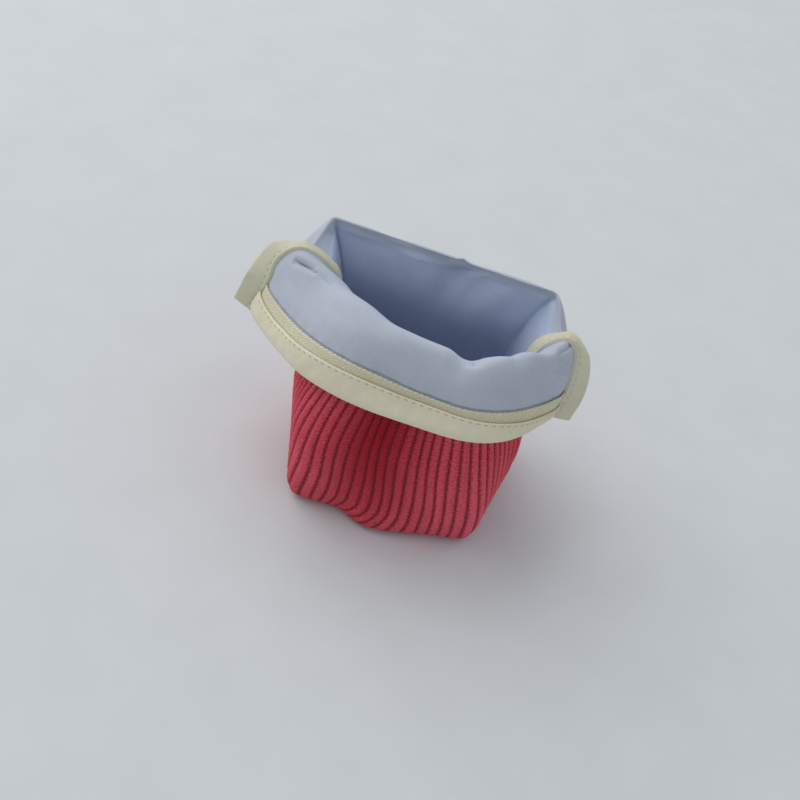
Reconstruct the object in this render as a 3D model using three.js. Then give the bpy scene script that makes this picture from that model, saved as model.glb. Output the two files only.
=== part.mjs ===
// A small lined corduroy pouch, standing open with its zip mouth rolled down outside as a cuff.
// Millimetres, +Z up: the base rests on Z = 0, the front faces -Y, the side seams lie towards -X and +X.
import * as THREE from "three";

// Driving dimensions
const GAP = 0.3; // clearance between pieces that touch
const LINING_THICKNESS = 1.0;
const CORDUROY_THICKNESS = 1.3; // in the grooves between ribs
const WALE_HEIGHT = 0.6; // a rib above its grooves
const WALES_PER_PANEL = 36;
const TAPE_THICKNESS = 1.0;
const BAND_THICKNESS = 1.0;
const FIN_WIDTH = 8;
const FIN_THICKNESS = 1.6;
const SEAM_ROUNDING = 5; // reach of the soft corner at each side seam
const BULGE_X = -1; // the base's front edge swells out here
const BULGE_LEFT = 14; // reach of the swell, steeper on its left
const BULGE_RIGHT = 34;

// Layers, as distances from the middle surface between lining and corduroy, positive on the lining's side
const LINING_NEAR = GAP / 2;
const LINING_FAR = LINING_NEAR + LINING_THICKNESS;
const CORDUROY_NEAR = -GAP / 2;
const CORDUROY_FAR = CORDUROY_NEAR - CORDUROY_THICKNESS;
const TAPE_NEAR = LINING_FAR + GAP;
const TAPE_FAR = TAPE_NEAR + TAPE_THICKNESS;
const BAND_NEAR = TAPE_FAR + GAP;
const BAND_FAR = BAND_NEAR + BAND_THICKNESS;
const BAND_BACK_NEAR = CORDUROY_FAR - GAP;
const BAND_BACK_FAR = BAND_BACK_NEAR - BAND_THICKNESS;
const BAND_CENTRE = (BAND_FAR + BAND_BACK_FAR) / 2;
const FIN_ROOT = LINING_FAR + GAP + FIN_THICKNESS / 2;
const FLOOR = -CORDUROY_FAR; // height of the middle surface over the base

// Six-cornered sections of the middle surface, from the base up to the rim and down the cuff
const PLAN_COLUMNS = [
  "leftX", "rightX", "seamY", "frontLeft", "frontRight", "frontY", "backLeft", "backRight", "backY",
];
const PLAN = {
  base_flat: [-31, 32.5, 0, -26, 29, -23.4, -29, 30, 28],
  base_edge: [-35.3, 37.3, 0, -30.2, 34, -28, -33, 34, 32],
  wall_low: [-37, 42.3, 0, -30.2, 34.5, -30.8, -33, 33.5, 33],
  wall_mid: [-39, 43, 0, -28, 31.5, -32.2, -33.5, 29, 28],
  wall_high: [-34.5, 40.5, 0, -15, 28, -26.5, -36.5, 32, 21],
  rim_in: [-35.5, 41, 0, -6, 26, -22.5, -40.5, 36, 18.8],
  rim_top: [-46.5, 45.8, 0, -6, 27, -27.5, -42.5, 38.5, 22.3],
  rim_out: [-53.4, 49.2, 0, -15, 31, -31.8, -45, 41, 26.2],
  cuff_mid: [-55, 50.4, -3, -26, 35, -33.5, -47, 43, 30],
  cuff_edge: [-59, 48.8, -3.5, -22, 35, -37.2, -50, 43.5, 34],
};

// Each section's heights, the reach of its rounded corners, its turn about Z in degrees,
// the swell of its front, and the number of facets up to the next section
const LEVEL_COLUMNS = ["seamZ", "frontZ", "backZ", "frontRound", "backRound", "turn", "bulge", "steps"];
const LEVELS = {
  base_flat: [FLOOR, FLOOR, FLOOR, 4.5, 6, 0, 4.5, 2],
  base_edge: [4.4, 4.2, 4.2, 4.5, 6, 0, 5.5, 1],
  wall_low: [18, 18, 18, 7, 8, 1, 1.5, 1],
  wall_mid: [40, 40, 40, 12, 8, 3, 0, 1],
  wall_high: [64, 64, 64, 11, 4, 5.5, 0, 1],
  rim_in: [77, 77.5, 78, 9, 3, 6, 0, 2],
  rim_top: [83.5, 83.2, 83.2, 9, 3, 6, 0, 2],
  rim_out: [77, 78.5, 79, 14, 7, 6, 0, 2],
  cuff_mid: [66, 67, 67.5, 17, 12, 6, 0, 1],
  cuff_edge: [53, 58, 56, 19, 16, 6, 0, 0],
};

const SECTIONS = Object.keys(PLAN);
const LEVEL = Object.fromEntries(SECTIONS.map((name, number) => [name, number]));
const MOUTH = LEVEL.cuff_edge;

// Places down the cuff, in sections
const TAPE_TOP = LEVEL.cuff_mid - 0.3;
const BAND_TOP = LEVEL.cuff_mid + 0.06;
const BAND_BACK_TOP = LEVEL.cuff_mid + 0.16;
const CLOTH_END = LEVEL.cuff_mid + 0.58;
const TAPE_END = LEVEL.cuff_mid + 0.6;
const BAND_POCKET = LEVEL.cuff_mid + 0.66;
const BAND_TURN = MOUTH - 0.07; // where the band starts to turn round its bottom edge

// Folds: the section they centre on and their reach in sections, the place round the panels
// (0 to 1 along the front, 1 to 2 along the back) and its reach, the height towards the lining's side,
// the drop towards the base, and the drift in place for each section
const FOLD_COLUMNS = ["level", "levelReach", "place", "placeReach", "height", "drop", "lean"];
const FOLDS = {
  front_valley: [LEVEL.wall_mid + 0.4, 1.5, 0.46, 0.1, 2.5, 0, 0],
  back_dart: [LEVEL.wall_high + 0.6, 1.6, 1.47, 0.06, -1.6, 0, -0.04],
  rim_dip: [LEVEL.rim_top, 2, 0.645, 0.07, 0, 2.8, 0],
  rim_swell: [LEVEL.rim_top, 2, 0.47, 0.17, 0, -1.4, 0],
  right_swell: [LEVEL.rim_top, 2, 0.74, 0.07, 0, -2, 0],
  right_drop: [LEVEL.rim_top, 2.4, 1, 0.18, 0, 4.2, 0],
  left_drop: [LEVEL.rim_top, 2.4, 0, 0.12, 0, 2.2, 0],
  left_hollow: [LEVEL.rim_top, 2, 1.92, 0.09, 0, 3.2, 0],
  right_hollow: [LEVEL.rim_top, 2, 1.08, 0.09, 0, 2.8, 0],
};

// Each side fin's angle off the lining, turned towards the back panel
const FIN_COLUMNS = ["level", "left", "right"];
const FIN_LIFT = [
  [LEVEL.base_edge + 0.6, 22, 26],
  [LEVEL.wall_mid, 16, 16],
  [LEVEL.rim_in, 18, 18],
  [LEVEL.rim_top, -1, 1],
  [LEVEL.rim_top + 0.5, 10, 8],
  [LEVEL.rim_out, 34, 24],
  [LEVEL.cuff_mid, 70, 52],
  [LEVEL.cuff_edge, 66, 66],
];
const FIN_STATIONS = 18;

const UP = new THREE.Vector3(0, 0, 1);
const COLUMNS_PER_PANEL = 2 * WALES_PER_PANEL;
const COLUMNS = 2 * COLUMNS_PER_PANEL;
const WALE_STEP = 2; // columns from one rib to the next
const NORMAL_STEP = 0.05; // way along the cloth over which its slope is taken, in sections
const LEFT_SEAM = 0; // columns of the seams, where the front panel starts and ends
const RIGHT_SEAM = COLUMNS_PER_PANEL;

/** A table's row as an object with the column names as its keys. */
function named(columns, row) {
  return Object.fromEntries(columns.map((column, i) => [column, row[i]]));
}

const sections = SECTIONS.map((name) => ({
  ...named(PLAN_COLUMNS, PLAN[name]),
  ...named(LEVEL_COLUMNS, LEVELS[name]),
}));
const folds = Object.values(FOLDS).map((row) => named(FOLD_COLUMNS, row));
const finLift = FIN_LIFT.map((row) => named(FIN_COLUMNS, row));

/** A hump of height 1 at 0 that falls smoothly to nothing at -1 and 1. */
function hump(x) {
  return Math.cos((THREE.MathUtils.clamp(x, -1, 1) * Math.PI) / 2) ** 2;
}

/** A corner rounded as a parabola that starts and ends `reach` away from it. */
function roundedCorner(before, corner, after, reach) {
  const towards = (point) => corner.clone().add(point.clone().sub(corner).setLength(reach));
  return new THREE.QuadraticBezierCurve3(towards(before), corner, towards(after));
}

/** The two halves of a rounded corner. */
function cornerHalves(curve) {
  const middle = curve.getPoint(0.5);
  return [
    new THREE.QuadraticBezierCurve3(curve.v0, curve.v0.clone().lerp(curve.v1, 0.5), middle),
    new THREE.QuadraticBezierCurve3(middle, curve.v1.clone().lerp(curve.v2, 0.5), curve.v2),
  ];
}

/** Rounded corners joined by straight runs into one path. */
function joinedPath(corners) {
  const path = new THREE.CurvePath();
  corners.forEach((corner, i) => {
    if (i > 0) path.add(new THREE.LineCurve3(corners[i - 1].v2, corner.v0));
    path.add(corner);
  });
  return path;
}

/** A section's points, evenly spaced along the front panel and then along the back one. */
function sectionPoints(section) {
  const turn = -THREE.MathUtils.degToRad(section.turn);
  const corners = [
    [section.leftX, section.seamY, section.seamZ],
    [section.frontLeft, section.frontY, section.frontZ],
    [section.frontRight, section.frontY, section.frontZ],
    [section.rightX, section.seamY, section.seamZ],
    [section.backRight, section.backY, section.backZ],
    [section.backLeft, section.backY, section.backZ],
  ].map((xyz) => new THREE.Vector3(...xyz).applyAxisAngle(UP, turn));
  const { frontRound, backRound } = section;
  const reach = [SEAM_ROUNDING, frontRound, frontRound, SEAM_ROUNDING, backRound, backRound];
  const rounded = corners.map((corner, i) =>
    roundedCorner(corners.at(i - 1), corner, corners[(i + 1) % corners.length], reach[i]),
  );
  const [leftIn, leftOut] = cornerHalves(rounded[0]);
  const [rightIn, rightOut] = cornerHalves(rounded[3]);
  const front = joinedPath([leftOut, rounded[1], rounded[2], rightIn]).getSpacedPoints(COLUMNS_PER_PANEL);
  const back = joinedPath([rightOut, rounded[4], rounded[5], leftIn]).getSpacedPoints(COLUMNS_PER_PANEL);
  front.forEach((point) => {
    const along = point.x - BULGE_X;
    point.y -= section.bulge * hump(along / (along < 0 ? BULGE_LEFT : BULGE_RIGHT));
  });
  return [...front.slice(0, -1), ...back.slice(0, -1)];
}

const sectionGrid = sections.map(sectionPoints);
const columnCurves = Array.from(
  { length: COLUMNS },
  (_, column) => new THREE.CatmullRomCurve3(sectionGrid.map((points) => points[column]), false, "catmullrom"),
);

/** A surface's normal towards the lining's side, from points a small step away along and across it. */
function normalOf(surface, column, level) {
  if (level === 0) return UP.clone();
  const ahead = surface(column, Math.min(level + NORMAL_STEP, MOUTH));
  const along = ahead.sub(surface(column, Math.max(level - NORMAL_STEP, 0)));
  const across = surface(column + 1, level).sub(surface(column - 1, level));
  return along.cross(across).normalize();
}

/** The smooth cloth without its folds. */
function smoothCloth(column, level) {
  return columnCurves[(column + COLUMNS) % COLUMNS].getPoint(level / MOUTH);
}

/** A fold's share of its full size at one place of the cloth. */
function foldShare(fold, column, level) {
  const place = ((column + COLUMNS) % COLUMNS) / COLUMNS_PER_PANEL;
  const down = level - fold.level;
  const round = THREE.MathUtils.euclideanModulo(place - fold.place - fold.lean * down + 1, 2) - 1;
  return hump(down / fold.levelReach) * hump(round / fold.placeReach);
}

/** The middle surface: the smooth cloth pushed along its normal, and down, by the folds. */
function middle(column, level) {
  const point = smoothCloth(column, level);
  const normal = normalOf(smoothCloth, column, level);
  folds.forEach((fold) => {
    const share = foldShare(fold, column, level);
    point.addScaledVector(normal, fold.height * share).addScaledVector(UP, -fold.drop * share);
  });
  return point;
}

/** A point at a distance from the middle surface. */
function layer(column, level, distance) {
  return middle(column, level).addScaledVector(normalOf(middle, column, level), distance);
}

/** Levels of the facets' edges, from the base's flat to the cloth's end. */
function clothLevels() {
  const levels = sections.flatMap((section, number) =>
    Array.from({ length: section.steps }, (_, i) => number + i / section.steps),
  );
  return [...levels, CLOTH_END];
}

/** A mesh from a list of triangles, each three points. */
function meshOf(name, triangles, look) {
  const geometry = new THREE.BufferGeometry().setFromPoints(triangles.flat());
  geometry.computeVertexNormals();
  const mesh = new THREE.Mesh(geometry, new THREE.MeshStandardMaterial(look));
  mesh.name = name;
  return mesh;
}

/**
 * Triangles between two closed rings, where the second has as many points as the first or twice as many.
 * `round` is Math.ceil or Math.floor, and sets which way each facet's diagonal runs.
 */
function bridge(lower, upper, round = Math.ceil) {
  const ratio = upper.length / lower.length;
  const pivot = round(ratio / 2);
  return lower.flatMap((point, i) => {
    const next = lower[(i + 1) % lower.length];
    const above = Array.from({ length: ratio + 1 }, (_, k) => upper[(ratio * i + k) % upper.length]);
    const fans = above.slice(1).map((corner, k) => [k < pivot ? point : next, above[k], corner]);
    return [...fans, [point, above[pivot], next]];
  });
}

/**
 * A closed bag of cloth: rings up its inside and down its outside, with a fan at each side of the floor.
 * The diagonals are the same on both sides, so that bags one inside the other stay clear.
 */
function bag(name, insideRings, outsideRings, look) {
  const rings = [...insideRings, ...outsideRings];
  const diagonal = (i) => (i < insideRings.length ? Math.ceil : Math.floor);
  const centre = (ring) => ring.reduce((sum, p) => sum.add(p), new THREE.Vector3()).divideScalar(ring.length);
  const first = rings[0];
  const last = rings.at(-1);
  const triangles = [
    ...first.map((p, i) => [centre(first), p, first[(i + 1) % first.length]]),
    ...rings.slice(1).flatMap((ring, i) => bridge(rings[i], ring, diagonal(i))),
    ...last.map((p, i) => [p, centre(last), last[(i + 1) % last.length]]),
  ];
  return meshOf(name, triangles, look);
}

/** One closed ring of the cloth at a level, taking every `step`th column. */
function clothRing(level, step, distanceAt) {
  return Array.from({ length: COLUMNS / step }, (_, i) => layer(i * step, level, distanceAt(i * step)));
}

/** A rib's share of its height at a level: none on the flat base and under the mouth's band. */
function waleShare(level) {
  return level > 0 && level < LEVEL.cuff_mid ? 1 : 0;
}

function corduroyShell() {
  const levels = clothLevels();
  const inside = levels.map((level) => clothRing(level, WALE_STEP, () => CORDUROY_NEAR));
  const outside = levels.toReversed().map((level) =>
    clothRing(level, 1, (column) => CORDUROY_FAR - (column % WALE_STEP) * WALE_HEIGHT * waleShare(level)),
  );
  return bag("corduroy_shell", inside, outside, { color: "#8e3542", roughness: 0.95, metalness: 0 });
}

function cottonLining() {
  const levels = clothLevels();
  const inside = levels.map((level) => clothRing(level, WALE_STEP, () => LINING_FAR));
  const outside = levels.toReversed().map((level) => clothRing(level, WALE_STEP, () => LINING_NEAR));
  return bag("cotton_lining", inside, outside, { color: "#8a94a3", roughness: 0.9, metalness: 0 });
}

/** A bar with closed ends: the same outline at each station, given as points in space. */
function sweep(name, outline, stations, look) {
  const caps = THREE.ShapeUtils.triangulateShape(outline, []);
  const first = stations[0];
  const last = stations.at(-1);
  const triangles = [
    ...stations.slice(1).flatMap((station, i) => bridge(stations[i], station)),
    ...caps.map((corners) => corners.map((corner) => first[corner])),
    ...caps.map((corners) => corners.map((corner) => last[corner]).reverse()),
  ];
  return meshOf(name, triangles, look);
}

/** A strip along one panel of the cuff, from seam to seam, with an outline in levels and layers. */
function cuffStrip(name, seam, outline, look) {
  const between = Array.from({ length: WALES_PER_PANEL - 1 }, (_, i) => (i + 1) * WALE_STEP);
  const columns = [1, ...between, COLUMNS_PER_PANEL - 1];
  const stations = columns.map((column) => outline.map((corner) => layer(seam + column, corner.x, corner.y)));
  return sweep(name, outline, stations, look);
}

/** Corners of an outline as flat points. */
function outlineOf(corners) {
  return corners.map(([x, y]) => new THREE.Vector2(x, y));
}

const TAPE_OUTLINE = outlineOf([
  [TAPE_TOP, TAPE_NEAR],
  [BAND_TOP, TAPE_NEAR],
  [TAPE_END, TAPE_NEAR],
  [TAPE_END, TAPE_FAR],
  [BAND_TOP, TAPE_FAR],
  [TAPE_TOP, TAPE_FAR],
]);

// The band is folded over the raw edges, and its two legs close below them
const BAND_OUTLINE = outlineOf([
  [BAND_TOP, BAND_NEAR],
  [BAND_POCKET, BAND_NEAR],
  [BAND_POCKET, BAND_BACK_NEAR],
  [BAND_BACK_TOP, BAND_BACK_NEAR],
  [BAND_BACK_TOP, BAND_BACK_FAR],
  [BAND_POCKET, BAND_BACK_FAR],
  [BAND_TURN, BAND_CENTRE + (BAND_BACK_FAR - BAND_CENTRE) / 2],
  [MOUTH, BAND_CENTRE],
  [BAND_TURN, BAND_CENTRE + (BAND_FAR - BAND_CENTRE) / 2],
  [BAND_POCKET, BAND_FAR],
  [BAND_TOP, BAND_FAR],
]);

// A fin's outline: the way across from its root, then the way through its thickness
const FIN_HALF = FIN_THICKNESS / 2;
const FIN_OUTLINE = outlineOf([
  [0, -FIN_HALF / 2],
  [1, -FIN_HALF],
  [FIN_WIDTH - 1, -FIN_HALF],
  [FIN_WIDTH, -FIN_HALF / 2],
  [FIN_WIDTH, FIN_HALF / 2],
  [FIN_WIDTH - 1, FIN_HALF],
  [1, FIN_HALF],
  [0, FIN_HALF / 2],
]);

/** A fin's lift at a level, in radians, between the rows of its table. */
function liftAt(side, level) {
  const next = Math.max(1, finLift.findIndex((row) => row.level >= level));
  const [a, b] = [finLift[next - 1], finLift[next]];
  const degrees = THREE.MathUtils.mapLinear(level, a.level, b.level, a[side], b[side]);
  return THREE.MathUtils.degToRad(degrees);
}

/** A bound side seam: a flat fin along the seam's column, leaning towards the back panel. */
function sideBinding(side, column, towardsBack) {
  const start = finLift[0].level;
  const stations = Array.from({ length: FIN_STATIONS }, (_, i) => {
    const level = THREE.MathUtils.lerp(start, MOUTH, i / (FIN_STATIONS - 1));
    const root = layer(column, level, FIN_ROOT);
    const normal = normalOf(middle, column, level);
    const back = middle(column + towardsBack, level).sub(middle(column, level)).normalize();
    const lift = liftAt(side, level);
    const across = back.clone().multiplyScalar(Math.cos(lift)).addScaledVector(normal, Math.sin(lift));
    const through = normal.clone().multiplyScalar(Math.cos(lift)).addScaledVector(back, -Math.sin(lift));
    return FIN_OUTLINE.map((corner) =>
      root.clone().addScaledVector(across, corner.x).addScaledVector(through, corner.y),
    );
  });
  const facing = towardsBack < 0 ? stations : stations.toReversed();
  return sweep(`side_binding_${side}`, FIN_OUTLINE, facing, FIN_LOOK);
}

const TAPE_LOOK = { color: "#c3b894", roughness: 0.9, metalness: 0 };
const BAND_LOOK = { color: "#b0ab97", roughness: 0.85, metalness: 0 };
const FIN_LOOK = { color: "#a3a594", roughness: 0.9, metalness: 0 };

const pouch = new THREE.Group();
pouch.name = "corduroy_pouch";
pouch.add(
  corduroyShell(),
  cottonLining(),
  cuffStrip("zip_tape_front", LEFT_SEAM, TAPE_OUTLINE, TAPE_LOOK),
  cuffStrip("zip_tape_back", RIGHT_SEAM, TAPE_OUTLINE, TAPE_LOOK),
  cuffStrip("mouth_binding_front", LEFT_SEAM, BAND_OUTLINE, BAND_LOOK),
  cuffStrip("mouth_binding_back", RIGHT_SEAM, BAND_OUTLINE, BAND_LOOK),
  sideBinding("left", LEFT_SEAM, -1),
  sideBinding("right", RIGHT_SEAM, 1),
);

export default pouch;
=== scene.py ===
# %% [markdown]
# # A lined corduroy pouch with its mouth rolled down
#
# The pouch stands open on its base. Its mouth is rolled outwards, so the blue-grey cotton lining
# shows as a soft cuff, with a strip of cream zip tape and a cream binding along the cuff's edge.
# First the solid model is loaded as a fixed frame: every piece below is drawn in that same space.

# %% The fixed frame
import math

import bpy
import numpy as np
from mathutils import Matrix, Vector


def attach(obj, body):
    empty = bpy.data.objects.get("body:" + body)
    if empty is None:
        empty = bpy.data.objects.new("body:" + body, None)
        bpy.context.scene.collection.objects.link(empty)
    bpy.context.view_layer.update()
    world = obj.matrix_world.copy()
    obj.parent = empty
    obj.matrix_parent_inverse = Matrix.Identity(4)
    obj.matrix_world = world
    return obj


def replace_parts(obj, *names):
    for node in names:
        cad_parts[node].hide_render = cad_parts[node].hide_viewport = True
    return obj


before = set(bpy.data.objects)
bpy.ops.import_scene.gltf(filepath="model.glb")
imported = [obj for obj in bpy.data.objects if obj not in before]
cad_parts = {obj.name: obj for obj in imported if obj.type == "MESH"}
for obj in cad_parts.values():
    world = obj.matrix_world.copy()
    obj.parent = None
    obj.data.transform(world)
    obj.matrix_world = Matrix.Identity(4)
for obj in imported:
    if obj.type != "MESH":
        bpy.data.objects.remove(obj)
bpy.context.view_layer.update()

# %% [markdown]
# ## Camera and light
#
# The camera looks down at the mouth at 42 degrees and is tilted sideways by 15 degrees. It is set up first,
# so that every piece can be judged against it. The light is a very large soft panel, high up on the left
# and a little behind, with a pale sky: the shadow falls to the right and the front stays in soft shade.
# A small lamp would be simpler, but its shadow would be too hard.

# %% Camera
MM = 0.001
HALF_FRAME, SENSOR_WIDTH = 400, 36.0  # half of the picture in pixels, and the sensor in millimetres


def put_in_scene(name, data):
    """A new object in the scene that holds the data."""
    made = bpy.data.objects.new(name, data)
    bpy.context.scene.collection.objects.link(made)
    return made


def look_from(azimuth, elevation, roll, distance, target, focal, pixel):
    """A camera whose axes come from its angles: back from the target, right, and up, turned by the roll.

    The target shows at `pixel`, so the eye slides by the pixels between that and the picture's middle.
    """
    a, e, r = (math.radians(x) for x in (azimuth, elevation, roll))
    back = np.array([math.sin(a) * math.cos(e), -math.cos(a) * math.cos(e), math.sin(e)])
    right = np.array([math.cos(a), math.sin(a), 0.0])
    up = np.cross(back, right)
    across = right * math.cos(r) + up * math.sin(r)
    above = up * math.cos(r) - right * math.sin(r)
    slide = (across * (HALF_FRAME - pixel[0]) + above * (pixel[1] - HALF_FRAME)) * distance / focal
    eye = np.array(target) + distance * back + slide
    turned = Matrix([[*axes, 0] for axes in zip(across, above, back)] + [[0, 0, 0, 1]])
    lens = bpy.data.cameras.new("camera")
    lens.sensor_width, lens.lens = SENSOR_WIDTH, SENSOR_WIDTH * focal / (2 * HALF_FRAME)
    lens.clip_start, lens.clip_end = 0.01, 20.0
    made = put_in_scene("camera", lens)
    made.matrix_world = Matrix.Translation(eye) @ turned
    return made


camera = look_from(
    azimuth=0, elevation=42, roll=15.3, distance=0.445, target=(0, 0, 0.045), focal=1270, pixel=(410, 378)
)
bpy.context.scene.camera = camera
print("camera at", [round(x, 3) for x in camera.location])

# %% Light
PANEL_PLACE, PANEL_AIM = Vector((-1.0, 0.6, 1.3)), Vector((0, 0, 0.05))
light = bpy.data.lights.new("high_panel", "AREA")
light.size, light.energy, light.color = 2.2, 19.5, (1.0, 0.99, 0.97)
facing = (PANEL_PLACE - PANEL_AIM).to_track_quat("Z", "Y").to_matrix().to_4x4()
put_in_scene("high_panel", light).matrix_world = Matrix.Translation(PANEL_PLACE) @ facing
sky = bpy.data.worlds.new("pale_sky")
sky.use_nodes = True
background = sky.node_tree.nodes["Background"]
background.inputs["Color"].default_value = (0.9, 0.95, 1.0, 1)
background.inputs["Strength"].default_value = 0.55
bpy.context.scene.world = sky
bpy.context.scene.view_settings.view_transform = "Standard"
print("a soft panel and a pale sky")

# %% [markdown]
# ## Node helpers and shared finishes
#
# A material is a graph of nodes. It could be drawn by hand, but with a few helpers each one reads as a short
# recipe. The cottons share two effects, so each is a node group with named inputs: the over-and-under bumps
# of a plain weave, and the slow drift of tone that makes washed cloth look soft.

# %% Node helpers
FLOAT, COLOUR, VECTOR = "NodeSocketFloat", "NodeSocketColor", "NodeSocketVector"


def add_node(tree, kind, values=None, **settings):
    """A new node with its settings, and with a number or another node's output on each named input."""
    made = tree.nodes.new(kind)
    for name, value in settings.items():
        setattr(made, name, value)
    for socket, value in (values or {}).items():
        if isinstance(value, bpy.types.NodeSocket):
            tree.links.new(value, made.inputs[socket])
        else:
            made.inputs[socket].default_value = value
    return made


def sums(tree, operation, *terms):
    """A Math node's result: each term is a number or an output."""
    return add_node(tree, "ShaderNodeMath", dict(enumerate(terms)), operation=operation).outputs[0]


def noise(tree, place, scale, detail, roughness=0.5):
    """Cloudy noise over a place: the higher the scale, the smaller its clouds."""
    values = {"Vector": place, "Scale": scale, "Detail": detail, "Roughness": roughness}
    return add_node(tree, "ShaderNodeTexNoise", values).outputs[0]


def stripes(tree, turns):
    """Stripes from 0 to 1: one half plus half of the sine of a number of turns."""
    wave = sums(tree, "SINE", sums(tree, "MULTIPLY", turns, 2 * math.pi))
    return sums(tree, "MULTIPLY_ADD", wave, 0.5, 0.5)


def mixed(tree, share, first, second):
    """The colour between two colours at a share."""
    values = {0: share, 6: first, 7: second}
    return add_node(tree, "ShaderNodeMix", values, data_type="RGBA").outputs[2]


def scaled(tree, colour, share):
    """A colour multiplied by a share."""
    return add_node(tree, "ShaderNodeVectorMath", {0: colour, 3: share}, operation="SCALE").outputs[0]


def cloth_place(tree):
    """Where a point lies on its cloth, from the map `cloth`."""
    return add_node(tree, "ShaderNodeUVMap", uv_map="cloth").outputs[0]


def point_number(tree, name):
    """A number that the mesh holds for each of its points."""
    return add_node(tree, "ShaderNodeAttribute", attribute_name=name).outputs["Fac"]


def new_group(name, inputs, outputs):
    """An empty node group with named sockets, as (tree, its inputs' node, its outputs' node)."""
    tree = bpy.data.node_groups.new(name, "ShaderNodeTree")
    for socket, kind, default in inputs:
        made = tree.interface.new_socket(socket, in_out="INPUT", socket_type=kind)
        if default is not None:
            made.default_value = default
    for socket, kind in outputs:
        tree.interface.new_socket(socket, in_out="OUTPUT", socket_type=kind)
    return tree, tree.nodes.new("NodeGroupInput"), tree.nodes.new("NodeGroupOutput")


print("helpers for materials are ready")

# %% Plain weave


def plain_weave():
    """Height of a plain weave: one half plus half of sin(pi x) times sin(pi y), with x and y in threads.

    Slow noise shifts x and y, as uneven threads do.
    """
    tree, inside, outside = new_group(
        "plain_weave", [("Vector", VECTOR, None), ("Pitch", FLOAT, 0.4)], [("Height", FLOAT), ("Tone", FLOAT)]
    )
    values = {0: inside.outputs["Vector"], 1: inside.outputs["Pitch"]}
    threads = add_node(tree, "ShaderNodeVectorMath", values, operation="DIVIDE").outputs[0]
    slub = noise(tree, threads, scale=0.23, detail=2.0)
    split = add_node(tree, "ShaderNodeSeparateXYZ", {0: threads})
    drift = sums(tree, "MULTIPLY", slub, 1.6)
    waves = [
        sums(tree, "SINE", sums(tree, "MULTIPLY", sums(tree, "ADD", split.outputs[axis], drift), math.pi))
        for axis in (0, 1)
    ]
    height = sums(tree, "MULTIPLY_ADD", sums(tree, "MULTIPLY", *waves), 0.5, 0.5)
    tone = sums(tree, "MULTIPLY_ADD", sums(tree, "SUBTRACT", slub, 0.5), 1.2, height)
    tree.links.new(height, outside.inputs["Height"])
    tree.links.new(tone, outside.inputs["Tone"])
    return tree


WEAVE = plain_weave()
print("node group:", WEAVE.name)

# %% Drifting tone


def cloth_drift():
    """A colour that drifts between two: broad noise carries most of it, and fine noise the rest."""
    tree, inside, outside = new_group(
        "cloth_drift",
        [("Vector", VECTOR, None), ("Dark", COLOUR, None), ("Light", COLOUR, None), ("Grain", FLOAT, 0.3)],
        [("Colour", COLOUR)],
    )
    broad = noise(tree, inside.outputs["Vector"], scale=38.0, detail=3.0)
    fine = noise(tree, inside.outputs["Vector"], scale=900.0, detail=2.0)
    grain = sums(tree, "MULTIPLY", sums(tree, "SUBTRACT", fine, 0.5), inside.outputs["Grain"])
    share = sums(tree, "ADD", sums(tree, "MULTIPLY_ADD", broad, 1.8, -0.4), grain)
    held = add_node(tree, "ShaderNodeClamp", {"Value": share}).outputs[0]
    colour = mixed(tree, held, inside.outputs["Dark"], inside.outputs["Light"])
    tree.links.new(colour, outside.inputs["Colour"])
    return tree


DRIFT = cloth_drift()
print("node group:", DRIFT.name)

# %% Materials start and end the same way


def byte_colour(red, green, blue):
    """A display colour, 0 to 255, as linear light: a power curve with a straight foot."""
    share = np.array([red, green, blue]) / 255
    light = np.where(share > 0.04045, ((share + 0.055) / 1.055) ** 2.4, share / 12.92)
    return (*light.tolist(), 1.0)


def new_material(name, roughness, sheen=0.0, sheen_colour=(1, 1, 1, 1)):
    """A material with its shader, as (material, tree, shader). Values that never change sit on the shader."""
    made = bpy.data.materials.new(name)
    made.use_nodes = True
    tree = made.node_tree
    shader = tree.nodes["Principled BSDF"]
    values = {"Roughness": roughness, "Specular IOR Level": 0.2}
    values |= {"Sheen Weight": sheen, "Sheen Roughness": 0.45, "Sheen Tint": sheen_colour}
    for socket, value in values.items():
        shader.inputs[socket].default_value = value
    return made, tree, shader


def place_group(tree, group, **values):
    """A group node in a material, with its own values on the named inputs."""
    return add_node(tree, "ShaderNodeGroup", values, node_tree=group)


def drifting(tree, dark, light, grain=0.3):
    """The drift's colour between two display colours, by the place on the piece."""
    here = add_node(tree, "ShaderNodeTexCoord").outputs["Object"]
    colours = {"Dark": byte_colour(*dark), "Light": byte_colour(*light)}
    return place_group(tree, DRIFT, Vector=here, Grain=grain, **colours).outputs["Colour"]


def coated(tree, shader, colour, height, depth):
    """A colour on the shader, and a height times a depth in metres as its bump."""
    tree.links.new(colour, shader.inputs["Base Color"])
    bump = add_node(tree, "ShaderNodeBump", {"Height": height, "Distance": depth, "Strength": 1.0})
    tree.links.new(bump.outputs[0], shader.inputs["Normal"])


print("materials can begin")

# %% Woven cottons


def woven_material(name, dark, light, pitch, depth, inside=None):
    """Plain woven cotton: the drift's colour, darkened a little between the threads, and the weave as bump.

    A cloth with a colour for its inside turns to that colour where its attribute `inside` grows: painted
    shade inside the pouch.
    """
    made, tree, shader = new_material(name, roughness=0.9, sheen=0.12)
    weave = place_group(tree, WEAVE, Vector=cloth_place(tree), Pitch=pitch)
    colour = drifting(tree, dark, light)
    if inside:
        # painted shade: a bluer colour where the lining lies inside the pouch
        colour = mixed(tree, point_number(tree, "inside"), colour, byte_colour(*inside))
    worn = sums(tree, "MULTIPLY_ADD", weave.outputs["Tone"], 0.1, 0.94)
    coated(tree, shader, scaled(tree, colour, worn), weave.outputs["Height"], depth)
    return made


# The lining's colour for the inside is painted shade: the same cotton, bluer where it lies in the pouch.
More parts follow.
